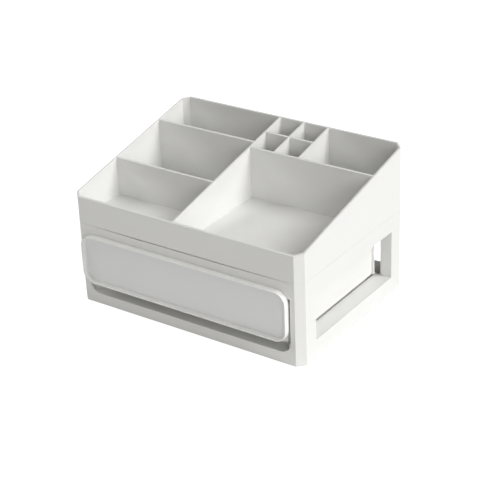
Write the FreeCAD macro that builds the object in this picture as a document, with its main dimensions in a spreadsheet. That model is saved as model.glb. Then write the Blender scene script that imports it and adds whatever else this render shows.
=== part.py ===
"""Desktop organiser: a sloped compartment tray standing on a housing with one drawer.

Units are millimetres. +X is the right side, -Y the front and +Z up. The origin is on the
ground, under the middle of the whole object with its drawer closed. The housing's own middle
lies behind it by half of what the drawer front stands out.
"""
import FreeCAD, Part
import math
import os
import Sketcher

# Driving dimensions: alias, value in millimetres, meaning.
SIZES = [
    ("width", 280.0, "overall width of housing and tray"),
    ("depth", 200.0, "depth of housing and tray, without the drawer front"),
    ("corner_chamfer", 7.7, "leg of the upright corner chamfers"),
    ("foot_proud", 0.6, "height that the feet hold the housing off the desk"),
    # housing
    ("housing_height", 91.5, "housing bottom edge to the seam under the tray"),
    ("housing_wall", 2.4, "outer wall of the housing"),
    ("floor_level", 12.2, "top of the housing floor, and lower edge of the drawer opening"),
    ("floor_thickness", 2.0, "housing floor plate"),
    ("side_depth", 13.2, "outer side face to the face that guides the drawer"),
    ("guide_wall", 2.0, "inner wall that guides the drawer"),
    ("guide_drop", 5.5, "top of the guide walls below the seam"),
    ("rail_height", 17.7, "seam to the top of the drawer opening and of the windows"),
    ("opening_radius", 13.0, "radius of the lower corners of the drawer opening"),
    ("seam_relief", 1.1, "how far the front rail dips below the tray in its middle"),
    ("seam_relief_taper", 75.0, "length over which the dip runs out at each end"),
    ("window_sill", 20.0, "lower edge of the side and back windows, and runner top"),
    ("window_margin", 26.0, "outer corner to the end of a window"),
    ("window_collar", 2.0, "wall of the collar around a side window"),
    ("lip_width", 6.3, "width of the window lips beside the drawer"),
    ("lip_setback", 6.5, "front face to the front end of the window lips"),
    ("gutter", 4.5, "gap between a window lip and its runner"),
    ("runner_width", 12.0, "width of the runners that carry the drawer"),
    ("runner_setback", 16.0, "front face to the front end of the runners"),
    ("runner_tail", 3.1, "rear stop to the rear end of runners and lips"),
    ("runner_skin", 2.0, "wall of the hollow runners, lips and sill"),
    ("rear_sill_depth", 11.0, "rear face to the front edge of the sill under the back window"),
    ("rear_stop_width", 10.0, "width of the stop behind the closed drawer"),
    ("rear_stop_thickness", 3.0, "thickness of that stop"),
    ("rear_stop_rise", 9.0, "height of that stop above the runner"),
    ("catch_depth", 5.0, "how far the catch ribs reach in from the guide walls"),
    ("catch_rise", 2.2, "top of the drawer opening to the underside of the catch ribs"),
    ("catch_thickness", 2.0, "thickness of the catch ribs"),
    ("foot_boss", 15.0, "diameter of the bosses over the feet"),
    ("foot_inset", 24.0, "outer faces to the centre of a foot"),
    ("foot_diameter", 10.0, "rubber foot"),
    ("foot_recess", 1.2, "depth of the pocket that holds a foot"),
    ("foot_clearance", 0.15, "radial gap between a foot and its pocket"),
    ("foot_edge", 0.4, "rounding of the lower edge of a foot"),
    # tray
    ("tray_front_height", 29.9, "seam to the tray's rim at the front"),
    ("tray_back_height", 72.2, "seam to the tray's rim at the back"),
    ("tray_wall", 2.4, "outer wall of the tray"),
    ("tray_floor", 1.8, "floor of the tray"),
    ("divider", 2.2, "thickness of the dividers"),
    ("centre_divider_x", -11.0, "centre divider, from the middle of the tray"),
    ("cell_pitch", 30.2, "spacing of the pen cells"),
    ("cross_divider_y", 39.4, "divider in front of the pen cells, from the middle"),
    ("left_rear_y", 48.9, "rear divider of the left half, from the middle"),
    ("left_front_y", -27.0, "front divider of the left half, from the middle"),
    ("skirt_height", 3.0, "locating skirt under the tray"),
    ("skirt_wall", 1.8, "wall of that skirt"),
    ("skirt_clearance", 0.3, "gap between the skirt and the housing wall"),
    # drawer
    ("drawer_travel", 120.0, "closed drawer to its catch"),
    ("drawer_shift", 1.4, "how far the drawer sits to the left in its side play"),
    ("stop_clearance", 0.4, "gap at the stops when the drawer is closed or open"),
    ("bin_setback", 3.3, "housing's front face to the front wall of the bin"),
    ("rear_space", 32.5, "rear wall of the bin to the housing's rear face"),
    ("bin_clearance", 4.2, "gap between the sides of a centred bin and the guide walls"),
    ("bin_headroom", 0.8, "rim of the bin below the top of the opening"),
    ("bin_lift", 3.1, "bottom of the bin above the runners"),
    ("bin_wall", 2.0, "wall of the drawer bin"),
    ("bin_floor", 2.0, "floor of the drawer bin"),
    ("ear_clearance", 0.4, "gap between the left rear ear and the guide wall"),
    ("ear_rise", 7.8, "top of the rear ears above the top of the opening"),
    ("ear_thickness", 2.0, "thickness of the rear ears"),
    ("glide_clearance", 0.25, "glide rails above the runners"),
    ("glide_width", 4.0, "width of a glide rail"),
    ("glide_inset", 9.0, "side of the bin to the middle of its glide rail"),
    ("glide_setback", 6.0, "front of the bin to the start of its glide rails"),
    ("front_drop", 10.0, "seam to the top of the drawer front"),
    ("finger_gap", 14.4, "lower edge of the opening to the bottom of the drawer front"),
    ("front_overlap", 0.2, "how far a centred drawer front covers the opening's sides"),
    ("front_clearance", 0.3, "gap between the housing and the back of the drawer front"),
    ("front_proud", 7.0, "how far the drawer front stands out of the housing"),
    ("front_radius", 13.0, "outer corner radius of the drawer front"),
    ("front_plate", 0.8, "plate behind the inset panel"),
    ("rim_wall", 1.6, "wall of the raised rim around the drawer front"),
    ("rim_round", 0.5, "rounding of the rim's front edges"),
    ("panel_thickness", 0.6, "inset panel"),
    ("panel_clearance", 0.1, "gap around the inset panel"),
    ("collar_inset", 4.0, "edges of the bin to the collar behind the drawer front"),
    ("collar_wall", 2.0, "wall of that collar"),
    ("peg_diameter", 6.0, "pegs that join the drawer front to the bin"),
    ("peg_clearance", 0.1, "radial gap around a peg"),
    ("peg_spacing", 170.0, "distance between the two pegs"),
]

# Places, as expressions on the sheet, measured from the middle of the housing's bottom edge.
MIDDLE = "Sizes.front_proud / 2"
HALF_WIDTH = "Sizes.width / 2"
HALF_DEPTH = "Sizes.depth / 2"
FLOOR_BOTTOM = "(Sizes.floor_level - Sizes.floor_thickness)"
GUIDE_FACE = "(Sizes.width / 2 - Sizes.side_depth)"
GUIDE_TOP = "(Sizes.housing_height - Sizes.guide_drop)"
OPENING_TOP = "(Sizes.housing_height - Sizes.rail_height)"
INNER_FRONT = "(Sizes.housing_wall - Sizes.depth / 2)"
INNER_BACK = "(Sizes.depth / 2 - Sizes.housing_wall)"
WINDOW_END = "(Sizes.depth / 2 - Sizes.window_margin)"
LIP_EDGE = "(Sizes.width / 2 - Sizes.side_depth - Sizes.lip_width)"
LIP_FRONT = "(Sizes.lip_setback - Sizes.depth / 2)"
RUNNER_SIDE = f"({LIP_EDGE} - Sizes.gutter)"
RUNNER_EDGE = f"({RUNNER_SIDE} - Sizes.runner_width)"
RUNNER_FRONT = "(Sizes.runner_setback - Sizes.depth / 2)"
SILL_FRONT = "(Sizes.depth / 2 - Sizes.rear_sill_depth)"
FRONT_FACE = "(-Sizes.depth / 2 - Sizes.front_proud)"
FRONT_BACK = "(-Sizes.depth / 2 - Sizes.front_clearance)"
FRONT_HALF = "(Sizes.width / 2 - Sizes.side_depth + Sizes.front_overlap)"
FRONT_TOP = "(Sizes.housing_height - Sizes.front_drop)"
FRONT_BOTTOM = "(Sizes.floor_level + Sizes.finger_gap)"
DISH_DEPTH = "(Sizes.front_proud - Sizes.front_clearance - Sizes.front_plate)"
BIN_FRONT = "(Sizes.bin_setback - Sizes.depth / 2)"
BIN_REAR = "(Sizes.depth / 2 - Sizes.rear_space)"
BIN_HALF = "(Sizes.width / 2 - Sizes.side_depth - Sizes.bin_clearance)"
BIN_BOTTOM = "(Sizes.window_sill + Sizes.bin_lift)"
BIN_TOP = f"({OPENING_TOP} - Sizes.bin_headroom)"
PEG_LEVEL = f"(({FRONT_BOTTOM} + {BIN_TOP}) / 2)"
EAR_HALF = ("(Sizes.width / 2 - Sizes.side_depth - Sizes.drawer_shift"
            " - Sizes.ear_clearance)")
STOP_FRONT = f"({BIN_REAR} + Sizes.stop_clearance)"
STOP_REAR = f"({STOP_FRONT} + Sizes.rear_stop_thickness)"
CATCH_REAR = (f"({BIN_REAR} - Sizes.ear_thickness - Sizes.drawer_travel"
              " - Sizes.stop_clearance)")
CATCH_BOTTOM = f"({OPENING_TOP} + Sizes.catch_rise)"
CELL_WALL_X = "(Sizes.centre_divider_x + 2 * Sizes.cell_pitch)"
CELL_CROSS_Y = ("((Sizes.cross_divider_y + Sizes.divider / 2"
                " + Sizes.depth / 2 - Sizes.tray_wall) / 2)")
OVERRUN = "2"

# How near an edge has to lie to a level, or a direction to an axis, to count as lying on it.
NEAR = 1e-4


def make_sheet(doc):
    """Write the driving dimensions into the spreadsheet, one alias per row."""
    sheet = doc.addObject("Spreadsheet::Sheet", "Sizes")
    for row, (alias, value, meaning) in enumerate(SIZES, start=1):
        sheet.set(f"A{row}", meaning)
        sheet.set(f"B{row}", str(value))
        sheet.setAlias(f"B{row}", alias)
    doc.recompute()
    return sheet


def make_body(doc, label, height="0", side="0"):
    """Start a sub-part on the housing's middle, moved up and sideways."""
    body = doc.addObject("PartDesign::Body", label)
    body.Label = label
    body.setExpression("Placement.Base.x", side)
    body.setExpression("Placement.Base.y", MIDDLE)
    body.setExpression("Placement.Base.z", height)
    return body


def new_sketch(body, name, role, offset="0"):
    """Attach a sketch to one of the body's origin planes, moved along the plane's normal."""
    plane = [item for item in body.Origin.OriginFeatures if item.Role == role][0]
    sketch = body.newObject("Sketcher::SketchObject", name)
    sketch.AttachmentSupport = [(plane, "")]
    sketch.MapMode = "FlatFace"
    sketch.setExpression("AttachmentOffset.Base.z", offset)
    return sketch


def place_point(sketch, edge, point, tag, place, start):
    """Tie a point of the sketch to a pair of sheet expressions, measured from the origin."""
    for axis, kind, value, rule in zip("xy", ("DistanceX", "DistanceY"), start, place):
        index = sketch.addConstraint(Sketcher.Constraint(kind, -1, 1, edge, point, value))
        sketch.renameConstraint(index, f"{axis}{tag}")
        sketch.setExpression(f"Constraints.{axis}{tag}", rule)


def draw_outline(sketch, corners):
    """Add a closed outline of straight edges through the given corners."""
    first = sketch.GeometryCount
    count = len(corners)
    turn = 2 * math.pi / count
    ring = [FreeCAD.Vector(math.cos(i * turn), math.sin(i * turn), 0) for i in range(count)]
    for i in range(count):
        sketch.addGeometry(Part.LineSegment(ring[i], ring[(i + 1) % count]), False)
    for i, corner in enumerate(corners):
        edge = first + i
        following = first + (i + 1) % count
        sketch.addConstraint(Sketcher.Constraint("Coincident", edge, 2, following, 1))
        place_point(sketch, edge, 1, edge, corner, (ring[i].x, ring[i].y))


def draw_rectangle(sketch, low, high):
    """Add a rectangle between two opposite corners."""
    (x0, y0), (x1, y1) = low, high
    draw_outline(sketch, [(x0, y0), (x1, y0), (x1, y1), (x0, y1)])


def draw_pair(sketch, inner, outer, near, far):
    """Add a rectangle on the right side and its mirror image on the left."""
    draw_rectangle(sketch, (inner, near), (outer, far))
    draw_rectangle(sketch, (f"-({outer})", near), (f"-({inner})", far))


def draw_circle(sketch, centre, diameter):
    """Add a circle with its centre and diameter tied to the sheet."""
    edge = sketch.addGeometry(Part.Circle(FreeCAD.Vector(1, 1, 0), FreeCAD.Vector(0, 0, 1), 1))
    place_point(sketch, edge, 3, f"c{edge}", centre, (1.0, 1.0))
    index = sketch.addConstraint(Sketcher.Constraint("Diameter", edge, 2.0))
    sketch.renameConstraint(index, f"d{edge}")
    sketch.setExpression(f"Constraints.d{edge}", diameter)


def chamfered_outline(inset):
    """Corners of the chamfered plan of housing and tray, moved in by an inset."""
    leg = f"(Sizes.corner_chamfer - ({inset}) * (2 - sqrt(2)))"
    x = f"({HALF_WIDTH} - ({inset}))"
    y = f"({HALF_DEPTH} - ({inset}))"
    near_x = f"({x} - {leg})"
    near_y = f"({y} - {leg})"
    return [(x, near_y), (near_x, y), (f"-{near_x}", y), (f"-{x}", near_y),
            (f"-{x}", f"-{near_y}"), (f"-{near_x}", f"-{y}"), (near_x, f"-{y}"), (x, f"-{near_y}")]


def add_pad(body, sketch, length, reverse=False):
    """Extrude a sketch, along its normal or against it."""
    pad = body.newObject("PartDesign::Pad", f"{sketch.Name}_pad")
    pad.Profile = sketch
    pad.Reversed = reverse
    pad.setExpression("Length", length)
    return pad


def add_pocket(body, sketch, length, reverse=False):
    """Cut a sketch into the body, against its normal or, reversed, along it."""
    pocket = body.newObject("PartDesign::Pocket", f"{sketch.Name}_cut")
    pocket.Profile = sketch
    pocket.Reversed = reverse
    pocket.setExpression("Length", length)
    return pocket


def add_through_cut(body, sketch):
    """Cut a sketch right through the body, to both sides of its plane."""
    pocket = body.newObject("PartDesign::Pocket", f"{sketch.Name}_cut")
    pocket.Profile = sketch
    pocket.Type = "ThroughAll"
    pocket.Midplane = True
    return pocket


def add_rounding(body, feature, name, radius, chosen):
    """Round the edges of a feature that the chosen test picks."""
    feature.Document.recompute()
    edges = [f"Edge{number}" for number, edge in enumerate(feature.Shape.Edges, start=1)
             if chosen(edge)]
    rounding = body.newObject("PartDesign::Fillet", name)
    rounding.Base = (feature, edges)
    rounding.setExpression("Radius", radius)
    return rounding


def runs_along_y(edge):
    """True for a straight edge that points front to back."""
    if edge.Curve.TypeId != "Part::GeomLine":
        return False
    direction = edge.tangentAt(edge.FirstParameter)
    return direction.cross(FreeCAD.Vector(0, 1, 0)).Length < NEAR


def corner_at_x(edge, half):
    """True for a front-to-back edge at the given distance to either side of the middle."""
    return runs_along_y(edge) and abs(abs(edge.BoundBox.Center.x) - half) < NEAR


def lies_at_y(edge, level):
    """True for an edge that lies wholly in the plane at the given depth."""
    box = edge.BoundBox
    return abs(box.YMin - level) < NEAR and abs(box.YMax - level) < NEAR


def lies_at_z(edge, level):
    """True for an edge that lies wholly at the given height."""
    box = edge.BoundBox
    return abs(box.ZMin - level) < NEAR and abs(box.ZMax - level) < NEAR


def make_housing(doc):
    """The drawer housing: a shell with windows, a floor, lips, runners and a rear sill."""
    body = make_body(doc, "drawer_housing", "Sizes.foot_proud")

    shell = new_sketch(body, "shell", "XY_Plane")
    draw_outline(shell, chamfered_outline("0"))
    draw_outline(shell, chamfered_outline("Sizes.housing_wall"))
    add_pad(body, shell, "Sizes.housing_height")

    opening = new_sketch(body, "opening", "XZ_Plane", HALF_DEPTH)
    draw_rectangle(opening, (f"-{GUIDE_FACE}", "Sizes.floor_level"), (GUIDE_FACE, OPENING_TOP))
    cut = add_pocket(body, opening, "Sizes.housing_wall")
    sheet = doc.getObject("Sizes")
    half_opening = sheet.width / 2 - sheet.side_depth
    add_rounding(body, cut, "opening_corners", "Sizes.opening_radius",
                 lambda edge: corner_at_x(edge, half_opening)
                 and lies_at_z(edge, sheet.floor_level))

    relief = new_sketch(body, "seam_relief", "XZ_Plane", HALF_DEPTH)
    end = f"({HALF_WIDTH} - Sizes.corner_chamfer)"
    dip = f"({end} - Sizes.seam_relief_taper)"
    seam = "Sizes.housing_height"
    low = "(Sizes.housing_height - Sizes.seam_relief)"
    high = f"(Sizes.housing_height + {OVERRUN})"
    draw_outline(relief, [(f"-{end}", seam), (f"-{dip}", low), (dip, low), (end, seam),
                          (end, high), (f"-{end}", high)])
    add_pocket(body, relief, "Sizes.housing_wall")

    floor = new_sketch(body, "floor", "XY_Plane", FLOOR_BOTTOM)
    draw_outline(floor, chamfered_outline("Sizes.housing_wall"))
    add_pad(body, floor, "Sizes.floor_thickness")

    guides = new_sketch(body, "guides", "XY_Plane", "Sizes.floor_level")
    draw_pair(guides, GUIDE_FACE, f"({GUIDE_FACE} + Sizes.guide_wall)", INNER_FRONT, INNER_BACK)
    add_pad(body, guides, f"{GUIDE_TOP} - Sizes.floor_level")

    collars = new_sketch(body, "collars", "XY_Plane", "Sizes.window_sill - Sizes.window_collar")
    collar_end = f"({WINDOW_END} + Sizes.window_collar)"
    draw_pair(collars, f"({GUIDE_FACE} + Sizes.guide_wall)",
              f"({HALF_WIDTH} - Sizes.housing_wall)", f"-{collar_end}", collar_end)
    add_pad(body, collars, f"{OPENING_TOP} - Sizes.window_sill + 2 * Sizes.window_collar")

    runners = new_sketch(body, "runners", "XY_Plane", "Sizes.floor_level")
    runner_rear = f"({STOP_REAR} + Sizes.runner_tail)"
    draw_pair(runners, RUNNER_EDGE, RUNNER_SIDE, RUNNER_FRONT, runner_rear)
    draw_pair(runners, LIP_EDGE, GUIDE_FACE, LIP_FRONT, runner_rear)
    draw_rectangle(runners, (f"-{GUIDE_FACE}", SILL_FRONT), (GUIDE_FACE, INNER_BACK))
    add_pad(body, runners, "Sizes.window_sill - Sizes.floor_level")

    cores = new_sketch(body, "runner_cores", "XY_Plane", FLOOR_BOTTOM)
    draw_pair(cores, f"({RUNNER_EDGE} + Sizes.runner_skin)", f"({RUNNER_SIDE} - Sizes.runner_skin)",
              f"({RUNNER_FRONT} + Sizes.runner_skin)", f"({runner_rear} - Sizes.runner_skin)")
    draw_pair(cores, f"({LIP_EDGE} + Sizes.runner_skin)", GUIDE_FACE,
              f"({LIP_FRONT} + Sizes.runner_skin)", f"({runner_rear} - Sizes.runner_skin)")
    draw_rectangle(cores, (f"-{GUIDE_FACE}", f"({SILL_FRONT} + Sizes.runner_skin)"),
                   (GUIDE_FACE, INNER_BACK))
    add_pocket(body, cores, f"Sizes.window_sill - Sizes.runner_skin - {FLOOR_BOTTOM}", True)

    windows = new_sketch(body, "side_windows", "YZ_Plane")
    draw_rectangle(windows, (f"-{WINDOW_END}", "Sizes.window_sill"), (WINDOW_END, OPENING_TOP))
    add_through_cut(body, windows)

    back = new_sketch(body, "back_window", "XZ_Plane", f"-{HALF_DEPTH}")
    back_end = f"({HALF_WIDTH} - Sizes.window_margin)"
    draw_rectangle(back, (f"-{back_end}", "Sizes.window_sill"), (back_end, OPENING_TOP))
    add_pocket(body, back, "Sizes.housing_wall", True)

    stops = new_sketch(body, "rear_stops", "XY_Plane", "Sizes.window_sill")
    draw_pair(stops, RUNNER_EDGE, f"({RUNNER_EDGE} + Sizes.rear_stop_width)",
              STOP_FRONT, STOP_REAR)
    add_pad(body, stops, "Sizes.rear_stop_rise")

    catches = new_sketch(body, "catches", "XY_Plane", CATCH_BOTTOM)
    draw_pair(catches, f"({GUIDE_FACE} - Sizes.catch_depth)", GUIDE_FACE,
              f"({CATCH_REAR} - Sizes.catch_thickness)", CATCH_REAR)
    add_pad(body, catches, f"{GUIDE_TOP} - {CATCH_BOTTOM}")

    bosses = new_sketch(body, "foot_bosses", "XY_Plane")
    pockets = new_sketch(body, "foot_pockets", "XY_Plane")
    for _, place in foot_places():
        draw_circle(bosses, place, "Sizes.foot_boss")
        draw_circle(pockets, place, "Sizes.foot_diameter + 2 * Sizes.foot_clearance")
    add_pad(body, bosses, FLOOR_BOTTOM)
    add_pocket(body, pockets, "Sizes.foot_recess", True)
    return body


def foot_places():
    """Name and place of each foot, as pairs of sheet expressions."""
    x = f"({HALF_WIDTH} - Sizes.foot_inset)"
    y = f"({HALF_DEPTH} - Sizes.foot_inset)"
    return [("foot_front_left", (f"-{x}", f"-{y}")), ("foot_front_right", (x, f"-{y}")),
            ("foot_rear_left", (f"-{x}", y)), ("foot_rear_right", (x, y))]


def make_feet(doc):
    """Four rubber pads, each seated in a pocket under the housing."""
    feet = []
    for name, (x, y) in foot_places():
        body = make_body(doc, name, side=x)
        body.setExpression("Placement.Base.y", f"{y} + {MIDDLE}")
        disc = new_sketch(body, f"{name}_disc", "XY_Plane")
        draw_circle(disc, ("0", "0"), "Sizes.foot_diameter")
        pad = add_pad(body, disc, "Sizes.foot_proud + Sizes.foot_recess")
        add_rounding(body, pad, f"{name}_edge", "Sizes.foot_edge",
                     lambda edge: edge.BoundBox.ZMax < NEAR)
        feet.append(body)
    return feet


def make_tray(doc):
    """The compartment tray: sloped rim, flat floor, dividers and a skirt that locates it."""
    body = make_body(doc, "organizer_tray", "Sizes.foot_proud + Sizes.housing_height")

    block = new_sketch(body, "tray_block", "XY_Plane")
    draw_outline(block, chamfered_outline("0"))
    add_pad(body, block, "Sizes.tray_back_height")

    hollow = new_sketch(body, "tray_hollow", "XY_Plane", "Sizes.tray_floor")
    draw_outline(hollow, chamfered_outline("Sizes.tray_wall"))
    add_pocket(body, hollow, "Sizes.tray_back_height", True)

    half = "Sizes.divider / 2"
    side = f"({HALF_WIDTH} - Sizes.tray_wall / 2)"
    back = f"({HALF_DEPTH} - Sizes.tray_wall / 2)"
    centre = "Sizes.centre_divider_x"
    upright = [("centre_divider", centre, f"-{back}", back),
               ("cell_divider", "(Sizes.centre_divider_x + Sizes.cell_pitch)",
                "Sizes.cross_divider_y", back),
               ("cell_wall", CELL_WALL_X, "Sizes.cross_divider_y", back)]
    crossing = [("left_front_divider", "Sizes.left_front_y", f"-{side}", centre),
                ("left_rear_divider", "Sizes.left_rear_y", f"-{side}", centre),
                ("cross_divider", "Sizes.cross_divider_y", centre, side),
                ("cell_cross_divider", CELL_CROSS_Y, centre, CELL_WALL_X)]
    for name, x, near, far in upright:
        wall = new_sketch(body, name, "XY_Plane", "Sizes.tray_floor")
        draw_rectangle(wall, (f"({x} - {half})", near), (f"({x} + {half})", far))
        add_pad(body, wall, "Sizes.tray_back_height - Sizes.tray_floor")
    for name, y, left, right in crossing:
        wall = new_sketch(body, name, "XY_Plane", "Sizes.tray_floor")
        draw_rectangle(wall, (left, f"({y} - {half})"), (right, f"({y} + {half})"))
        add_pad(body, wall, "Sizes.tray_back_height - Sizes.tray_floor")

    slope = new_sketch(body, "sloped_rim", "YZ_Plane")
    over = f"(Sizes.tray_back_height + {OVERRUN})"
    draw_outline(slope, [(f"-{HALF_DEPTH}", "Sizes.tray_front_height"),
                         (HALF_DEPTH, "Sizes.tray_back_height"),
                         (HALF_DEPTH, over), (f"-{HALF_DEPTH}", over)])
    add_through_cut(body, slope)

    skirt = new_sketch(body, "skirt", "XY_Plane")
    inset = "(Sizes.housing_wall + Sizes.skirt_clearance)"
    draw_outline(skirt, chamfered_outline(inset))
    draw_outline(skirt, chamfered_outline(f"({inset} + Sizes.skirt_wall)"))
    add_pad(body, skirt, "Sizes.skirt_height", True)
    return body


def make_bin(doc):
    """The drawer bin, with glide rails below and ears at the rear that meet the catches."""
    body = make_body(doc, "drawer_bin", "Sizes.foot_proud", "-Sizes.drawer_shift")

    block = new_sketch(body, "bin_block", "XY_Plane", BIN_BOTTOM)
    draw_rectangle(block, (f"-{BIN_HALF}", BIN_FRONT), (BIN_HALF, BIN_REAR))
    add_pad(body, block, f"{BIN_TOP} - {BIN_BOTTOM}")

    hollow = new_sketch(body, "bin_hollow", "XY_Plane", f"{BIN_BOTTOM} + Sizes.bin_floor")
    inner = f"({BIN_HALF} - Sizes.bin_wall)"
    draw_rectangle(hollow, (f"-{inner}", f"({BIN_FRONT} + Sizes.bin_wall)"),
                   (inner, f"({BIN_REAR} - Sizes.bin_wall)"))
    add_pocket(body, hollow, f"{BIN_TOP} - {BIN_BOTTOM}", True)

    ears = new_sketch(body, "ears", "XY_Plane", BIN_BOTTOM)
    draw_pair(ears, inner, EAR_HALF, f"({BIN_REAR} - Sizes.ear_thickness)", BIN_REAR)
    add_pad(body, ears, f"{OPENING_TOP} + Sizes.ear_rise - {BIN_BOTTOM}")

    glides = new_sketch(body, "glides", "XY_Plane", BIN_BOTTOM)
    middle = f"({BIN_HALF} - Sizes.glide_inset)"
    draw_pair(glides, f"({middle} - Sizes.glide_width / 2)", f"({middle} + Sizes.glide_width / 2)",
              f"({BIN_FRONT} + Sizes.glide_setback)", BIN_REAR)
    add_pad(body, glides, "Sizes.bin_lift - Sizes.glide_clearance", True)

    holes = new_sketch(body, "peg_holes", "XZ_Plane", f"-{BIN_FRONT}")
    for side in ("-", ""):
        draw_circle(holes, (f"{side}Sizes.peg_spacing / 2", PEG_LEVEL),
                    "Sizes.peg_diameter + 2 * Sizes.peg_clearance")
    add_pocket(body, holes, "Sizes.bin_wall")
    return body


def front_outline(sketch, inset):
    """Draw the drawer front's outline, still with square corners, moved in by an inset."""
    draw_rectangle(sketch, (f"-({FRONT_HALF} - {inset})", f"({FRONT_BOTTOM} + {inset})"),
                   (f"({FRONT_HALF} - {inset})", f"({FRONT_TOP} - {inset})"))


def make_front(doc):
    """The drawer front: a shallow rounded dish, with a collar and pegs that meet the bin."""
    body = make_body(doc, "drawer_front", "Sizes.foot_proud", "-Sizes.drawer_shift")
    sheet = doc.getObject("Sizes")
    face = -sheet.depth / 2 - sheet.front_proud
    half = sheet.width / 2 - sheet.side_depth + sheet.front_overlap

    block = new_sketch(body, "front_block", "XZ_Plane", f"-{FRONT_FACE}")
    front_outline(block, "0")
    add_pad(body, block, "Sizes.front_proud - Sizes.front_clearance", True)

    dish = new_sketch(body, "front_dish", "XZ_Plane", f"-{FRONT_FACE}")
    front_outline(dish, "Sizes.rim_wall")
    cut = add_pocket(body, dish, DISH_DEPTH)

    inner = add_rounding(body, cut, "dish_corners", "Sizes.front_radius - Sizes.rim_wall",
                         lambda edge: corner_at_x(edge, half - sheet.rim_wall))
    outer = add_rounding(body, inner, "front_corners", "Sizes.front_radius",
                         lambda edge: corner_at_x(edge, half))
    add_rounding(body, outer, "rim_edges", "Sizes.rim_round",
                 lambda edge: lies_at_y(edge, face))

    collar = new_sketch(body, "front_collar", "XZ_Plane", f"-{FRONT_BACK}")
    for inset in ("Sizes.collar_inset", "(Sizes.collar_inset + Sizes.collar_wall)"):
        draw_rectangle(collar, (f"-({BIN_HALF} - {inset})", f"({FRONT_BOTTOM} + {inset})"),
                       (f"({BIN_HALF} - {inset})", f"({BIN_TOP} - {inset})"))
    add_pad(body, collar, f"{BIN_FRONT} - {FRONT_BACK}", True)

    pegs = new_sketch(body, "front_pegs", "XZ_Plane", f"-{FRONT_BACK}")
    for side in ("-", ""):
        draw_circle(pegs, (f"{side}Sizes.peg_spacing / 2", PEG_LEVEL), "Sizes.peg_diameter")
    add_pad(body, pegs, f"{BIN_FRONT} + Sizes.bin_wall - {FRONT_BACK}", True)
    return body


def make_panel(doc):
    """The flat panel inset in the drawer front."""
    body = make_body(doc, "drawer_front_panel", "Sizes.foot_proud", "-Sizes.drawer_shift")
    sketch = new_sketch(body, "panel", "XZ_Plane", f"-({FRONT_FACE} + {DISH_DEPTH})")
    inset = "(Sizes.rim_wall + Sizes.panel_clearance)"
    front_outline(sketch, inset)
    pad = add_pad(body, sketch, "Sizes.panel_thickness")
    add_rounding(body, pad, "panel_corners", f"Sizes.front_radius - {inset}", runs_along_y)
    return body


def check(doc, bodies):
    """Stop if any object failed or any sub-part is not one valid solid."""
    for item in doc.Objects:
        if "Invalid" in item.State or "Error" in item.State:
            raise RuntimeError(f"{item.Label} failed: {item.State}")
    for body in bodies:
        if body.Shape.isNull() or not body.Shape.isValid() or len(body.Shape.Solids) != 1:
            raise RuntimeError(f"{body.Label} is not one valid solid")


def main():
    doc = FreeCAD.newDocument("DrawerOrganizer")
    make_sheet(doc)
    bodies = [make_housing(doc), make_tray(doc), make_bin(doc), make_front(doc), make_panel(doc)]
    bodies += make_feet(doc)
    doc.recompute()
    check(doc, bodies)
    os.makedirs("parts", exist_ok=True)
    for body in bodies:
        body.Shape.exportStep(f"parts/{body.Label}.step")
        box = body.Shape.BoundBox
        print(f"{body.Label}: {body.Shape.Volume / 1000:.2f} cm3, "
              f"x {box.XMin:.2f}..{box.XMax:.2f}, y {box.YMin:.2f}..{box.YMax:.2f}, "
              f"z {box.ZMin:.2f}..{box.ZMax:.2f}")


main()
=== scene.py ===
"""Looks of a white moulded desk organiser with a drawer, laid out as a Blender add-on.

Lengths are metres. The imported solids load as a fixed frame: +X is the right side, -Y the
front, +Z up, and the origin is on the desk under the middle of the whole organiser.
"""
import math

import bmesh
import bpy
from bpy.props import FloatProperty, FloatVectorProperty, IntProperty, PointerProperty
from mathutils import Matrix, Vector


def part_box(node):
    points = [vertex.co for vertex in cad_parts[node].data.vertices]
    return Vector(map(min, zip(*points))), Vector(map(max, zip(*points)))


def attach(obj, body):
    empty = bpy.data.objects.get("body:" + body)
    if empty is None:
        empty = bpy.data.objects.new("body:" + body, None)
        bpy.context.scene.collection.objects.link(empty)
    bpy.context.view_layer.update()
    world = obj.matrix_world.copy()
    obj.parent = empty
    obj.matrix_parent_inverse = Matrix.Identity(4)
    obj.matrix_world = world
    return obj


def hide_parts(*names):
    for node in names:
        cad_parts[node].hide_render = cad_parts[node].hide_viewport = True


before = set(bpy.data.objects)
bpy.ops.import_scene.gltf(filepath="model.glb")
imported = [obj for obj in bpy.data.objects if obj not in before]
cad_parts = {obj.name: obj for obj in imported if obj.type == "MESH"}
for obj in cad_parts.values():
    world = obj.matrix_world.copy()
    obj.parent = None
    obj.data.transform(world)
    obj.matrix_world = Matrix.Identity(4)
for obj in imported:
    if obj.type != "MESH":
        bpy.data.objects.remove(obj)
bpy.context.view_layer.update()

bl_info = {
    "name": "Desk Organiser With Drawer",
    "version": (1, 0, 0),
    "blender": (4, 5, 0),
    "location": "3D View > Sidebar > Organiser",
    "description": "Finishes the tray, housing, drawer and pads of a moulded desk organiser",
    "category": "Object",
}

MM = 0.001

# Points closer than this are one point; faces that turn less are one face; edges that turn
# more are rounded.
SAME_POINT = 0.001 * MM
FLAT_TURN = math.radians(0.5)
SHARP_TURN = math.radians(40)
# Faces with this many corners or more are split before the edges are rounded.
SPLIT_CORNERS = 5
# The weight at which the larger face alone decides how a shared corner is shaded.
LARGER_FACE_WEIGHT = 100

POLYPROPYLENE_IOR = 1.49
RUBBER_IOR = 1.5
# The colour sockets of a mix node: its two inputs and its result.
COLOUR_A, COLOUR_B, MIXED_COLOUR = 6, 7, 2

# The camera's sensor in millimetres, and the nearest and farthest it sees in metres.
SENSOR_WIDTH = 36
NEAREST, FARTHEST = 0.01, 20


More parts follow.
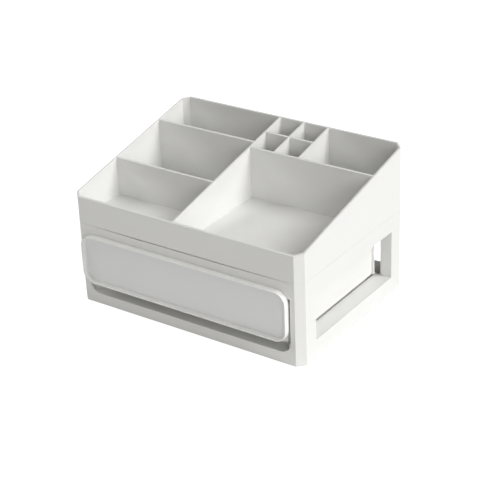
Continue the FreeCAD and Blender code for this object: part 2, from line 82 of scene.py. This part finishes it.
def linear(hex_colour):
    """Turn an sRGB hex colour into the linear values that Blender works in."""
    values = [int(hex_colour[i:i + 2], 16) / 255 for i in (1, 3, 5)]
    return tuple(v / 12.92 if v <= 0.04045 else ((v + 0.055) / 1.055) ** 2.4 for v in values)


def add_node(tree, kind, inputs=None, **settings):
    """Add a node with its settings; an input takes a plain value or another node's output."""
    node = tree.nodes.new(kind)
    for name, value in settings.items():
        setattr(node, name, value)
    for key, value in (inputs or {}).items():
        if isinstance(value, bpy.types.NodeSocket):
            tree.links.new(value, node.inputs[key])
        else:
            node.inputs[key].default_value = value
    return node


def colour_property(name, description, hex_colour):
    return FloatVectorProperty(name=name, description=description, subtype="COLOR",
                               min=0.0, max=1.0, default=linear(hex_colour))


def length_property(name, description, millimetres):
    return FloatProperty(name=name, description=description, subtype="DISTANCE",
                         unit="LENGTH", min=0.0, precision=5, default=millimetres * MM)


def offset_property(name, millimetres):
    """A place to the right of the middle or behind it; negative is to the left or in front."""
    return FloatProperty(name=name, description="Its place, from the middle", unit="LENGTH",
                         precision=5, default=millimetres * MM)


def share_property(name, description, share):
    return FloatProperty(name=name, description=description, min=0.0, max=1.0, default=share)


def angle_property(name, description, degrees):
    return FloatProperty(name=name, description=description, subtype="ANGLE",
                         default=math.radians(degrees))


def strength_property(name, description, strength):
    """A distant lamp's strength, in watts per square metre."""
    return FloatProperty(name=name, description=description, default=strength)


def direction_property(name, towards):
    """The way from the object towards a distant lamp."""
    return FloatVectorProperty(name=name, description="From the object towards the lamp",
                               subtype="XYZ", default=towards)


class OrganiserFinish(bpy.types.PropertyGroup):
    """Colours and edge sizes of the moulded pieces."""

    body_colour: colour_property("Body", "Moulded shell of tray, housing and bin", "#E7E7E5")
    body_shade: colour_property("Body flow shade", "Faint darker flow in the shell", "#E4E4E2")
    rim_colour: colour_property("Rim", "Raised rim of the drawer front", "#EEEEEC")
    rim_shade: colour_property("Rim flow shade", "Faint darker flow in the rim", "#ECECEA")
    panel_colour: colour_property("Panel", "Flat panel inset in the drawer front", "#E8E9E9")
    panel_shade: colour_property("Panel shade", "Faint darker flow in the panel", "#E6E7E7")
    rubber_colour: colour_property("Pads", "Rubber pads under the housing", "#A3A29E")
    tray_edge: length_property("Tray edge", "Rounding of the tray's walls", 0.5)
    housing_edge: length_property("Housing edge", "Rounding of the housing's edges", 0.35)
    drawer_edge: length_property("Drawer edge", "Rounding of the bin's edges", 0.4)
    front_edge: length_property("Front edge", "Rounding inside the drawer front", 0.2)
    edge_steps: IntProperty(name="Edge steps", description="Facets across a rounded edge",
                            min=1, max=4, default=2)
    flow_size: length_property("Flow size", "Width of the faint flow marks", 60.0)
    grain_size: length_property("Grain size", "Spacing of the moulded surface grain", 1.2)
    grain_depth: length_property("Grain depth", "Depth of the moulded surface grain", 0.02)
    grain_share: share_property("Grain share", "How much of the grain shows", 0.12)
    body_roughness: share_property("Body roughness", "Roughness of the shell", 0.45)
    rim_roughness: share_property("Rim roughness", "Roughness of the drawer front's rim", 0.4)
    panel_roughness: share_property("Panel roughness", "Roughness of the inset panel", 0.6)
    sheen_change: share_property("Sheen change", "Change of the roughness with the flow", 0.03)


class OrganiserTray(bpy.types.PropertyGroup):
    """Plan and heights of the compartment tray."""

    wall: length_property("Wall", "Outer wall of the tray", 2.4)
    divider: length_property("Divider", "Thickness of the dividers", 2.2)
    floor: length_property("Floor", "Floor of the tray", 1.8)
    front_height: length_property("Front height", "Seam to the rim at the front", 29.9)
    chamfer: length_property("Corner chamfer", "Leg of the upright corner chamfers", 7.7)
    centre: offset_property("Centre divider", -11.0)
    cell_pitch: length_property("Cell pitch", "Spacing of the pen cells", 30.2)
    cross: offset_property("Cross divider", 39.4)
    left_rear: offset_property("Left rear divider", 48.9)
    left_front: offset_property("Left front divider", -27.0)
    skirt_gap: length_property("Skirt gap", "Outer wall of the housing to the skirt", 0.3)
    skirt_wall: length_property("Skirt wall", "Wall of the locating skirt", 1.8)
    skirt_height: length_property("Skirt height", "Skirt below the tray", 3.0)


class OrganiserPads(bpy.types.PropertyGroup):
    """The rubber pads that the housing stands on."""

    sides: IntProperty(name="Sides", description="Facets round a pad", min=12, max=96,
                       default=48)
    edge: length_property("Edge", "Rounding of a pad's edges", 0.4)
    edge_steps: IntProperty(name="Edge steps", description="Facets across a rounded edge",
                            min=1, max=4, default=3)
    roughness: share_property("Roughness", "Roughness of the rubber", 0.8)
    grain_size: length_property("Grain size", "Spacing of the rubber's grain", 0.6)
    grain_depth: length_property("Grain depth", "Depth of the rubber's grain", 0.05)
    grain_share: share_property("Grain share", "How much of the grain shows", 0.3)


class OrganiserStage(bpy.types.PropertyGroup):
    """Camera, light and floor."""

    azimuth: angle_property("Azimuth", "Camera's turn to the right", 35.46)
    elevation: angle_property("Elevation", "Camera's height above level", 27.37)
    roll: angle_property("Roll", "Camera's tilt about its view", -2.36)
    place: FloatVectorProperty(name="Place", description="Camera's place", subtype="XYZ",
                               unit="LENGTH", default=(0.79765, -1.09994, 0.75411))
    lens: FloatProperty(name="Lens", description="Focal length on a 36 mm sensor, in mm",
                        default=104.41)
    sky: FloatProperty(name="Sky", description="Light from straight overhead", default=0.08)
    sky_edge: FloatProperty(name="Sky edge", description="Height below which the sky gives no "
                            "light, as the sine of its elevation", default=0.3)
    softness: FloatProperty(name="Softness", description="Width of each distant lamp in the sky",
                            subtype="ANGLE", default=0.5)
    high_strength: strength_property("High", "Lamp high at the right", 1.45)
    high_direction: direction_property("High direction", (1.3, 0.3, 1.25))
    side_strength: strength_property("Side", "Lamp low at the right", 1.175)
    side_direction: direction_property("Side direction", (4.5, 0.6, 2.3))
    front_strength: strength_property("Front", "Lamp low in front, at the right", 0.825)
    front_direction: direction_property("Front direction", (3.9, -3.9, 1.7))
    left_strength: strength_property("Left", "Lamp high at the left", 0.87)
    left_direction: direction_property("Left direction", (-2.0, -1.0, 2.0))
    warmth: colour_property("Warmth", "Colour of the lamps in front and at the left", "#FFFEFB")
    floor_size: length_property("Floor size", "Side of the floor", 6000.0)
    floor_white: share_property("Floor white", "How much light the floor gives back", 0.9)
    floor_glow: share_property("Floor glow", "White that the camera sees on top of it", 0.8)


def new_material(name, ior):
    """A material with its node tree, its shader and the place that its patterns follow."""
    material = bpy.data.materials.new(name)
    material.use_nodes = True
    tree = material.node_tree
    shader = tree.nodes["Principled BSDF"]
    shader.inputs["IOR"].default_value = ior
    return material, tree, shader, add_node(tree, "ShaderNodeTexCoord").outputs["Object"]


def add_grain(tree, shader, place, look, detail):
    """Raise a fine surface grain, with the size, depth and share that the look gives."""
    grain = add_node(tree, "ShaderNodeTexNoise",
                     {"Vector": place, "Scale": 1 / look.grain_size, "Detail": detail})
    bump = add_node(tree, "ShaderNodeBump",
                    {"Height": grain.outputs["Fac"], "Strength": look.grain_share,
                     "Distance": look.grain_depth})
    tree.links.new(bump.outputs["Normal"], shader.inputs["Normal"])


def moulded_plastic(name, colour, shade, roughness):
    """Injection-moulded polypropylene: satin, with a fine spark-eroded grain.

    The eye sees an even white with soft, wide highlights and hardly any colour change. The
    real grain is under 0.1 mm, too fine to show, so it is drawn about ten times as coarse.
    """
    finish = bpy.context.scene.organiser_finish
    material, tree, shader, place = new_material(name, POLYPROPYLENE_IOR)
    flow = add_node(tree, "ShaderNodeTexNoise",
                    {"Vector": place, "Scale": 1 / finish.flow_size, "Detail": 2.0})
    mix = add_node(tree, "ShaderNodeMix",
                   {"Factor": flow.outputs["Fac"], COLOUR_A: (*colour, 1),
                    COLOUR_B: (*shade, 1)}, data_type="RGBA")
    tree.links.new(mix.outputs[MIXED_COLOUR], shader.inputs["Base Color"])
    sheen = add_node(tree, "ShaderNodeMapRange",
                     {"Value": flow.outputs["Fac"], "To Min": roughness - finish.sheen_change,
                      "To Max": roughness + finish.sheen_change})
    tree.links.new(sheen.outputs["Result"], shader.inputs["Roughness"])
    add_grain(tree, shader, place, finish, 1.0)
    return material


def pad_rubber(name, colour):
    """Moulded thermoplastic rubber: dull grey, with a soft grain that scatters highlights."""
    pads = bpy.context.scene.organiser_pads
    material, tree, shader, place = new_material(name, RUBBER_IOR)
    shader.inputs["Base Color"].default_value = (*colour, 1)
    shader.inputs["Roughness"].default_value = pads.roughness
    add_grain(tree, shader, place, pads, 2.0)
    return material


def new_tree(name, inputs):
    """A geometry node tree with its inputs, each given as its name and its kind."""
    tree = bpy.data.node_groups.new(name, "GeometryNodeTree")
    tree.interface.new_socket("Geometry", in_out="OUTPUT", socket_type="NodeSocketGeometry")
    for socket, kind in inputs:
        tree.interface.new_socket(socket, in_out="INPUT", socket_type=f"NodeSocket{kind}")
    return tree


def smooth_tree():
    """A node tree that turns smooth shading on."""
    tree = bpy.data.node_groups.get("smooth_shading")
    if tree:
        return tree
    tree = new_tree("smooth_shading", [("Geometry", "Geometry")])
    start = add_node(tree, "NodeGroupInput")
    smooth = add_node(tree, "GeometryNodeSetShadeSmooth", {"Geometry": start.outputs[0]})
    add_node(tree, "NodeGroupOutput", {0: smooth.outputs[0]})
    return tree


def made_mesh(name, tree, values, base=None):
    """Run a geometry node tree with the given inputs and return its result as a plain mesh."""
    holder = bpy.data.objects.new(name, base or bpy.data.meshes.new(name))
    bpy.context.scene.collection.objects.link(holder)
    modifier = holder.modifiers.new(name, "NODES")
    modifier.node_group = tree
    for item in tree.interface.items_tree:
        if item.in_out == "INPUT" and item.name in values:
            modifier[item.identifier] = values[item.name]
    graph = bpy.context.evaluated_depsgraph_get()
    mesh = bpy.data.meshes.new_from_object(holder.evaluated_get(graph), depsgraph=graph)
    holder.modifiers.remove(modifier)
    holder.data = mesh
    return holder


def keep_faces_flat(piece):
    """Shade flat faces flat right up to their rounded edges."""
    normals = piece.modifiers.new("flat_shading", "WEIGHTED_NORMAL")
    normals.mode = "FACE_AREA"
    normals.weight = LARGER_FACE_WEIGHT


def round_edges(piece, radius, steps):
    """Give a piece's sharp edges a moulded radius."""
    bevel = piece.modifiers.new("rounded_edges", "BEVEL")
    bevel.width = radius
    bevel.segments = steps
    bevel.limit_method = "ANGLE"
    bevel.angle_limit = SHARP_TURN
    return bevel


def join_triangles(piece):
    """Join a solid's loose triangles into whole faces, and split those with many corners."""
    weld = piece.modifiers.new("joined_corners", "WELD")
    weld.merge_threshold = SAME_POINT
    flat = piece.modifiers.new("flat_faces", "DECIMATE")
    flat.decimate_type = "DISSOLVE"
    flat.angle_limit = FLAT_TURN
    split = piece.modifiers.new("split_pierced_faces", "TRIANGULATE")
    split.min_vertices = SPLIT_CORNERS
    smooth = piece.modifiers.new("smooth_shading", "NODES")
    smooth.node_group = smooth_tree()


def finish_node(name, material, radius):
    """Give a solid its material and its rounded edges."""
    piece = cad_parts[name]
    for slot in piece.material_slots:
        slot.material = material
    join_triangles(piece)
    bevel = round_edges(piece, radius, bpy.context.scene.organiser_finish.edge_steps)
    bevel.miter_outer = "MITER_ARC"
    keep_faces_flat(piece)


class ORGANISER_OT_housing(bpy.types.Operator):
    """Finish the drawer housing"""

    bl_idname = "organiser.housing"
    bl_label = "Housing"

    def execute(self, context):
        finish = context.scene.organiser_finish
        material = moulded_plastic("moulded_polypropylene_housing", finish.body_colour,
                                   finish.body_shade, finish.body_roughness)
        finish_node("drawer_housing", material, finish.housing_edge)
        return {"FINISHED"}


def tray_plan(tray, low, high):
    """The tray's plan as a sheet of faces, each marked as wall or floor and as skirt or not."""
    half_x, half_y = (high.x - low.x) / 2, (high.y - low.y) / 2
    middle = Vector(((low.x + high.x) / 2, (low.y + high.y) / 2, 0))
    skirt_out = tray.wall + tray.skirt_gap
    rings = (0.0, tray.wall, skirt_out, skirt_out + tray.skirt_wall)
    last = len(rings) - 1

    def near(half, ring):
        """Where a ring's corner chamfer begins along a side."""
        return half - rings[ring] - tray.chamfer + rings[ring] * (2 - math.sqrt(2))

    def span(at):
        """The two faces of a divider."""
        return (at - tray.divider / 2, at + tray.divider / 2)

    cells = (tray.centre, tray.centre + tray.cell_pitch, tray.centre + 2 * tray.cell_pitch)
    cell_cross = (tray.cross + tray.divider / 2 + half_y - tray.wall) / 2
    side_x, side_y = half_x - tray.wall, half_y - tray.wall
    walls = [(span(tray.centre), (-side_y, side_y)),
             (span(cells[1]), (tray.cross, side_y)), (span(cells[2]), (tray.cross, side_y)),
             ((-side_x, tray.centre), span(tray.left_front)),
             ((-side_x, tray.centre), span(tray.left_rear)),
             ((tray.centre, side_x), span(tray.cross)),
             ((tray.centre, cells[2]), span(cell_cross))]

    def lines(half, places):
        """The plan's lines along one axis: rings, the innermost chamfer and the dividers."""
        rim = [half - ring for ring in rings] + [near(half, last)]
        inner = [value for place in places for value in span(place)]
        return sorted([-value for value in rim] + inner + rim)

    xs = lines(half_x, cells)
    ys = lines(half_y, (tray.left_front, tray.cross, tray.left_rear, cell_cross))

    def ring_of(index, count):
        """The ring that a line belongs to, counted from the outside."""
        return min(index, count - 1 - index, last + 1)

    def corner(i, j):
        """A crossing of two lines; on a chamfer line it moves to the chamfer of its own ring."""
        ring_i, ring_j = ring_of(i, len(xs)), ring_of(j, len(ys))
        x, y = xs[i], ys[j]
        if ring_i == last + 1 and i in (last + 1, len(xs) - 2 - last) and ring_j <= last:
            x = math.copysign(near(half_x, ring_j), x)
        if ring_j == last + 1 and j in (last + 1, len(ys) - 2 - last) and ring_i <= last:
            y = math.copysign(near(half_y, ring_i), y)
        return (x, y, 0.0)

    faces = []
    for i in range(len(xs) - 1):
        for j in range(len(ys) - 1):
            band_i = min(i, len(xs) - 2 - i)
            band_j = min(j, len(ys) - 2 - j)
            if band_i <= last and band_j <= last:
                continue
            x, y = (xs[i] + xs[i + 1]) / 2, (ys[j] + ys[j + 1]) / 2
            band = min(band_i, band_j)
            inside = any(a < x < b and c < y < d for (a, b), (c, d) in walls)
            faces.append(([corner(i, j), corner(i + 1, j), corner(i + 1, j + 1), corner(i, j + 1)],
                          band == 0 or inside, band == 2))
    for sx in (-1, 1):
        for sy in (-1, 1):
            bands = [[(sx * (half_x - rings[r]), sy * near(half_y, r), 0.0),
                      (sx * near(half_x, r), sy * (half_y - rings[r]), 0.0)]
                     for r in range(last + 1)]
            for r in range(last):
                (a, b), (c, d) = bands[r], bands[r + 1]
                faces.append(([a, b, d, c], r == 0, r == 2))
            a, b = bands[last]
            faces.append(([a, b, (sx * near(half_x, last), sy * near(half_y, last), 0.0)],
                          False, False))

    return plan_mesh(faces, middle)


def plan_mesh(faces, middle):
    """A flat mesh of the given faces, all looking up and with their marks, about a middle."""
    plan = bmesh.new()
    wall_mark = plan.faces.layers.bool.new("wall")
    skirt_mark = plan.faces.layers.bool.new("skirt")
    for points, wall, skirt in faces:
        face = plan.faces.new([plan.verts.new(Vector(point) + middle) for point in points])
        face.normal_update()
        if face.normal.z < 0:
            face.normal_flip()
        face[wall_mark] = wall
        face[skirt_mark] = skirt
    bmesh.ops.remove_doubles(plan, verts=plan.verts, dist=SAME_POINT)
    mesh = bpy.data.meshes.new("tray_plan")
    plan.to_mesh(mesh)
    plan.free()
    return mesh


def tray_tree():
    """A node tree that raises the plan's walls to a rim that climbs evenly towards the back."""
    heights = ("Floor", "Seam", "Front Y", "Back Y", "Front Rim", "Back Rim", "Skirt")
    tree = new_tree("sloped_tray", [("Plan", "Geometry"),
                                    *((name, "Float") for name in heights),
                                    ("Material", "Material")])
    start = add_node(tree, "NodeGroupInput").outputs
    wall, skirt = [add_node(tree, "GeometryNodeInputNamedAttribute", {"Name": name},
                            data_type="BOOLEAN").outputs["Attribute"]
                   for name in ("wall", "skirt")]
    rise = add_node(tree, "ShaderNodeCombineXYZ", {"Z": start["Seam"]}).outputs[0]
    plan = add_node(tree, "GeometryNodeTransform",
                    {"Geometry": start["Plan"], "Translation": rise}).outputs[0]
    up = add_node(tree, "ShaderNodeCombineXYZ", {"Z": start["Floor"]}).outputs[0]
    slab = add_node(tree, "GeometryNodeExtrudeMesh",
                    {"Mesh": plan, "Offset": up, "Offset Scale": 1.0, "Individual": False})
    raised = add_node(tree, "FunctionNodeBooleanMath", {0: slab.outputs["Top"], 1: wall},
                      operation="AND").outputs[0]
    walls = add_node(tree, "GeometryNodeExtrudeMesh",
                     {"Mesh": slab.outputs["Mesh"], "Selection": raised, "Offset": up,
                      "Offset Scale": 1.0, "Individual": False})
    place = add_node(tree, "GeometryNodeInputPosition").outputs[0]
    parts = add_node(tree, "ShaderNodeSeparateXYZ", {0: place}).outputs
    rim = add_node(tree, "ShaderNodeMapRange",
                   {"Value": parts["Y"], "From Min": start["Front Y"],
                    "From Max": start["Back Y"], "To Min": start["Front Rim"],
                    "To Max": start["Back Rim"]}, clamp=False).outputs[0]
    sloped = add_node(tree, "ShaderNodeCombineXYZ",
                      {"X": parts["X"], "Y": parts["Y"], "Z": rim}).outputs[0]
    top = add_node(tree, "GeometryNodeSetPosition",
                   {"Geometry": walls.outputs["Mesh"], "Selection": walls.outputs["Top"],
                    "Position": sloped}).outputs[0]
    under = add_node(tree, "GeometryNodeFlipFaces", {"Mesh": plan}).outputs[0]
    depth = add_node(tree, "ShaderNodeMath", {0: start["Skirt"], 1: -1.0},
                     operation="MULTIPLY").outputs[0]
    down = add_node(tree, "ShaderNodeCombineXYZ", {"Z": depth}).outputs[0]
    skirted = add_node(tree, "GeometryNodeExtrudeMesh",
                       {"Mesh": under, "Selection": skirt, "Offset": down,
                        "Offset Scale": 1.0, "Individual": False}).outputs["Mesh"]
    both = add_node(tree, "GeometryNodeJoinGeometry")
    tree.links.new(top, both.inputs[0])
    tree.links.new(skirted, both.inputs[0])
    whole = add_node(tree, "GeometryNodeMergeByDistance",
                     {"Geometry": both.outputs[0], "Distance": SAME_POINT}).outputs[0]
    smooth = add_node(tree, "GeometryNodeSetShadeSmooth", {"Geometry": whole}).outputs[0]
    real = add_node(tree, "GeometryNodeRealizeInstances", {0: smooth}).outputs[0]
    painted = add_node(tree, "GeometryNodeSetMaterial",
                       {"Geometry": real, "Material": start["Material"]}).outputs[0]
    add_node(tree, "NodeGroupOutput", {0: painted})
    return tree


class ORGANISER_OT_tray(bpy.types.Operator):
    """Finish the compartment tray"""

    bl_idname = "organiser.tray"
    bl_label = "Tray"

    def execute(self, context):
        finish = context.scene.organiser_finish
        material = moulded_plastic("moulded_polypropylene_tray", finish.body_colour,
                                   finish.body_shade, finish.body_roughness)
        tray = context.scene.organiser_tray
        low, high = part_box("organizer_tray")
        seam = low.z + tray.skirt_height
        piece = made_mesh("compartment_tray", tray_tree(), {
            "Floor": tray.floor, "Seam": seam, "Front Y": low.y, "Back Y": high.y,
            "Front Rim": seam + tray.front_height, "Back Rim": high.z,
            "Skirt": tray.skirt_height, "Material": material}, tray_plan(tray, low, high))
        round_edges(piece, finish.tray_edge, finish.edge_steps)
        keep_faces_flat(piece)
        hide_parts("organizer_tray")
        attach(piece, "tray")
        return {"FINISHED"}


class ORGANISER_OT_drawer(bpy.types.Operator):
    """Finish the drawer's bin, its front and the inset panel"""

    bl_idname = "organiser.drawer"
    bl_label = "Drawer"

    def execute(self, context):
        finish = context.scene.organiser_finish
        shell = moulded_plastic("moulded_polypropylene_drawer", finish.body_colour,
                                finish.body_shade, finish.body_roughness)
        rim = moulded_plastic("moulded_polypropylene_rim", finish.rim_colour,
                              finish.rim_shade, finish.rim_roughness)
        sheet = moulded_plastic("moulded_polypropylene_matte_panel", finish.panel_colour,
                                finish.panel_shade, finish.panel_roughness)
        finish_node("drawer_bin", shell, finish.drawer_edge)
        finish_node("drawer_front", rim, finish.front_edge)
        finish_node("drawer_front_panel", sheet, finish.front_edge / 2)
        return {"FINISHED"}


def pad_tree():
    """A node tree that sets one round pad at each corner of a rectangle."""
    lengths = ("Span X", "Span Y", "Radius", "Height", "Middle Y")
    tree = new_tree("pads_at_corners", [*((name, "Float") for name in lengths),
                                        ("Sides", "Int"), ("Material", "Material")])
    start = add_node(tree, "NodeGroupInput").outputs
    corners = add_node(tree, "GeometryNodeMeshGrid",
                       {"Size X": start["Span X"], "Size Y": start["Span Y"],
                        "Vertices X": 2, "Vertices Y": 2})
    half = add_node(tree, "ShaderNodeMath", {0: start["Height"], 1: 0.5},
                    operation="MULTIPLY")
    lift = add_node(tree, "ShaderNodeCombineXYZ", {"Y": start["Middle Y"], "Z": half.outputs[0]})
    placed = add_node(tree, "GeometryNodeTransform",
                      {"Geometry": corners.outputs["Mesh"], "Translation": lift.outputs[0]})
    disc = add_node(tree, "GeometryNodeMeshCylinder",
                    {"Vertices": start["Sides"], "Radius": start["Radius"],
                     "Depth": start["Height"]})
    pads = add_node(tree, "GeometryNodeInstanceOnPoints",
                    {"Points": placed.outputs["Geometry"], "Instance": disc.outputs["Mesh"]})
    real = add_node(tree, "GeometryNodeRealizeInstances", {0: pads.outputs[0]})
    painted = add_node(tree, "GeometryNodeSetMaterial",
                       {"Geometry": real.outputs[0], "Material": start["Material"]})
    add_node(tree, "NodeGroupOutput", {0: painted.outputs[0]})
    return tree


class ORGANISER_OT_pads(bpy.types.Operator):
    """Make the four rubber pads under the housing"""

    bl_idname = "organiser.pads"
    bl_label = "Pads"

    def execute(self, context):
        look = context.scene.organiser_pads
        rubber = pad_rubber("thermoplastic_rubber", context.scene.organiser_finish.rubber_colour)
        low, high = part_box("foot_front_left")
        far_low, far_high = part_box("foot_rear_right")
        pads = made_mesh("rubber_pads", pad_tree(), {
            "Span X": far_low.x - low.x, "Span Y": far_low.y - low.y,
            "Radius": (high.x - low.x) / 2, "Height": high.z - low.z,
            "Middle Y": (low.y + far_high.y) / 2, "Sides": look.sides, "Material": rubber})
        round_edges(pads, look.edge, look.edge_steps)
        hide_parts("foot_front_left", "foot_front_right", "foot_rear_left",
                    "foot_rear_right")
        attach(pads, "housing")
        return {"FINISHED"}


def white_for_view(tree, strength):
    """Strength that is 1 where the camera, a reflection or glass looks, else the given one."""
    path = add_node(tree, "ShaderNodeLightPath").outputs
    seen = add_node(tree, "ShaderNodeMath",
                    {0: path["Is Camera Ray"], 1: path["Is Glossy Ray"]}, operation="MAXIMUM")
    seen = add_node(tree, "ShaderNodeMath",
                    {0: seen.outputs[0], 1: path["Is Transmission Ray"]}, operation="MAXIMUM")
    return add_node(tree, "ShaderNodeMapRange",
                    {"Value": seen.outputs[0], "To Min": strength, "To Max": 1.0}).outputs[0]


class ORGANISER_OT_stage(bpy.types.Operator):
    """Set up the white floor, the soft light and the camera"""

    bl_idname = "organiser.stage"
    bl_label = "Stage"

    def execute(self, context):
        stage = context.scene.organiser_stage
        self.make_floor(context, stage)
        self.make_light(context, stage)
        self.make_camera(context, stage)
        context.scene.view_settings.view_transform = "Standard"
        return {"FINISHED"}

    def make_floor(self, context, stage):
        half = stage.floor_size / 2
        mesh = bpy.data.meshes.new("floor")
        mesh.from_pydata([(-half, -half, 0), (half, -half, 0), (half, half, 0), (-half, half, 0)],
                         [], [(0, 1, 2, 3)])
        floor = bpy.data.objects.new("floor", mesh)
        context.scene.collection.objects.link(floor)
        material = bpy.data.materials.new("white_paper_sweep")
        material.use_nodes = True
        tree = material.node_tree
        tree.nodes.clear()
        matte = add_node(tree, "ShaderNodeBsdfDiffuse", {"Color": (*[stage.floor_white] * 3, 1)})
        glow = add_node(tree, "ShaderNodeEmission",
                        {"Color": (1, 1, 1, 1), "Strength": stage.floor_glow})
        path = add_node(tree, "ShaderNodeLightPath").outputs
        lit = add_node(tree, "ShaderNodeAddShader", {0: matte.outputs[0], 1: glow.outputs[0]})
        mix = add_node(tree, "ShaderNodeMixShader",
                       {0: path["Is Camera Ray"], 1: matte.outputs[0], 2: lit.outputs[0]})
        add_node(tree, "ShaderNodeOutputMaterial", {0: mix.outputs[0]})
        mesh.materials.append(material)

    def make_light(self, context, stage):
        world = bpy.data.worlds.new("white_studio")
        world.use_nodes = True
        tree = world.node_tree
        sky = tree.nodes["Background"]
        sky.inputs["Color"].default_value = (1, 1, 1, 1)
        rise = add_node(tree, "ShaderNodeSeparateXYZ",
                        {0: add_node(tree, "ShaderNodeTexCoord").outputs["Object"]})
        level = add_node(tree, "ShaderNodeMapRange",
                         {"Value": rise.outputs["Z"], "From Min": stage.sky_edge,
                          "To Min": 0.0, "To Max": stage.sky})
        tree.links.new(white_for_view(tree, level.outputs[0]), sky.inputs["Strength"])
        context.scene.world = world
        # Parallel light: both ends of the object are equally bright.
        for name in ("high", "side", "front", "left"):
            lamp = bpy.data.lights.new(f"{name}_lamp", "SUN")
            lamp.angle = stage.softness
            lamp.energy = getattr(stage, f"{name}_strength")
            if name in ("front", "left"):
                lamp.color = stage.warmth
            sun = bpy.data.objects.new(lamp.name, lamp)
            context.scene.collection.objects.link(sun)
            shine = -Vector(getattr(stage, f"{name}_direction"))
            sun.matrix_world = shine.to_track_quat("-Z", "Y").to_matrix().to_4x4()

    def make_camera(self, context, stage):
        turn, rise, roll = stage.azimuth, stage.elevation, stage.roll
        back = Vector((math.sin(turn) * math.cos(rise), -math.cos(turn) * math.cos(rise),
                       math.sin(rise)))
        right = (-back).cross(Vector((0, 0, 1))).normalized()
        up = right.cross(-back)
        side = right * math.cos(roll) + up * math.sin(roll)
        top = up * math.cos(roll) - right * math.sin(roll)
        lens = bpy.data.cameras.new("camera")
        lens.sensor_width = SENSOR_WIDTH
        lens.lens = stage.lens
        lens.clip_start = NEAREST
        lens.clip_end = FARTHEST
        camera = bpy.data.objects.new("camera", lens)
        context.scene.collection.objects.link(camera)
        turned = Matrix((side, top, back)).transposed().to_4x4()
        camera.matrix_world = Matrix.Translation(stage.place) @ turned
        context.scene.camera = camera


OPERATORS = (ORGANISER_OT_housing, ORGANISER_OT_tray, ORGANISER_OT_drawer,
             ORGANISER_OT_pads, ORGANISER_OT_stage)
GROUPS = (("organiser_finish", OrganiserFinish), ("organiser_tray", OrganiserTray),
          ("organiser_pads", OrganiserPads), ("organiser_stage", OrganiserStage))


class ORGANISER_PT_panel(bpy.types.Panel):
    """Sizes, colours and steps of the organiser"""

    bl_label = "Organiser"
    bl_idname = "ORGANISER_PT_panel"
    bl_space_type = "VIEW_3D"
    bl_region_type = "UI"
    bl_category = "Organiser"

    def draw(self, context):
        for name, group in GROUPS:
            box = self.layout.box()
            for prop in group.__annotations__:
                box.prop(getattr(context.scene, name), prop)
        for operator in OPERATORS:
            self.layout.operator(operator.bl_idname)


def register():
    for name, group in GROUPS:
        bpy.utils.register_class(group)
        setattr(bpy.types.Scene, name, PointerProperty(type=group))
    for cls in (*OPERATORS, ORGANISER_PT_panel):
        bpy.utils.register_class(cls)


def unregister():
    for cls in (ORGANISER_PT_panel, *reversed(OPERATORS)):
        bpy.utils.unregister_class(cls)
    for name, group in reversed(GROUPS):
        delattr(bpy.types.Scene, name)
        bpy.utils.unregister_class(group)


def main():
    register()
    bpy.ops.organiser.housing()
    bpy.ops.organiser.tray()
    bpy.ops.organiser.drawer()
    bpy.ops.organiser.pads()
    bpy.ops.organiser.stage()


if __name__ == "__main__":
    main()
